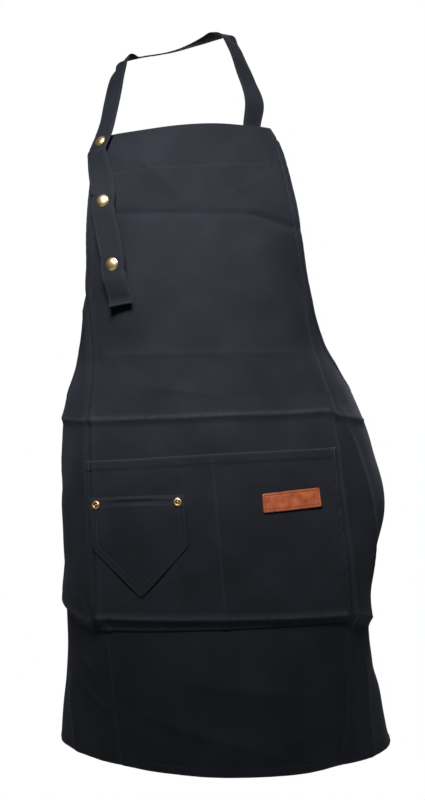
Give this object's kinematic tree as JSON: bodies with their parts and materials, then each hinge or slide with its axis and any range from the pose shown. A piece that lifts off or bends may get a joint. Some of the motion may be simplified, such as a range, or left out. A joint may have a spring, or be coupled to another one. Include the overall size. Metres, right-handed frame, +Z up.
{
  "type": "bib apron",
  "caption": "Dark canvas bib apron in worn shape: neck strap closed by a snap, wide front pocket, small riveted pocket, leather label and waist ties in a bow.",
  "frame": {"origin": "middle of the wearer's neck, level with the strap behind it", "axes": "+Z up, -Y to the front of the apron, +X to the viewer's right (the wearer's left)"},
  "size_m": [0.4164, 0.3158, 0.8945],
  "materials": {
    "canvas": "matte twill",
    "strap_canvas": "matte twill, doubled and sewn",
    "leather": "polished tan",
    "brass": "pale polished",
    "antique_brass": "darkened, worn on the rim",
    "spring_wire": "drawn wire"
  },
  "bodies": {
    "apron": {"body_panel": "canvas", "bib_facing": "canvas", "front_pocket": "canvas", "patch_pocket": "canvas", "leather_label": "leather", "neck_strap": "strap_canvas", "waist_tie_left": "strap_canvas", "waist_tie_right": "strap_canvas", "bow_loop_left": "strap_canvas", "bow_loop_right": "strap_canvas", "bow_knot": "strap_canvas", "snap_stud": "brass", "snap_post": "brass", "rivet_left": "antique_brass", "rivet_right": "antique_brass", "rivet_burr_left": "antique_brass", "rivet_burr_right": "antique_brass"},
    "strap_drop": {"strap_drop": "strap_canvas", "snap_cap_1": "brass", "snap_socket_1": "brass", "snap_spring_1": "spring_wire"},
    "strap_tail": {"strap_tail": "strap_canvas", "snap_cap_2": "brass", "snap_socket_2": "brass", "snap_spring_2": "spring_wire", "snap_cap_3": "brass", "snap_socket_3": "brass", "snap_spring_3": "spring_wire"},
    "tie_tail_left": {"tie_tail_left": "strap_canvas"},
    "tie_tail_right": {"tie_tail_right": "strap_canvas"}
  },
  "joints": [
    {"name": "strap_unsnap", "type": "hinge", "parent": "apron", "child": "strap_drop", "pos_m": [-0.06, 0.02, -0.001], "axis": [-0.7341, 0.6516, -0.1911], "range_deg": [0, 35]},
    {"name": "tail_swing", "type": "hinge", "parent": "strap_drop", "child": "strap_tail", "pos_m": [-0.10508, -0.06245, -0.12129], "axis": [-0.6587, 0.7524, 0], "range_deg": [0, 75]},
    {"name": "tie_left_swing", "type": "hinge", "parent": "apron", "child": "tie_tail_left", "pos_m": [-0.0145, 0.1256, -0.46762], "axis": [1, 0, 0], "range_deg": [-20, 60]},
    {"name": "tie_right_swing", "type": "hinge", "parent": "apron", "child": "tie_tail_right", "pos_m": [0.0145, 0.1304, -0.46762], "axis": [1, 0, 0], "range_deg": [-20, 60]}
  ]
}
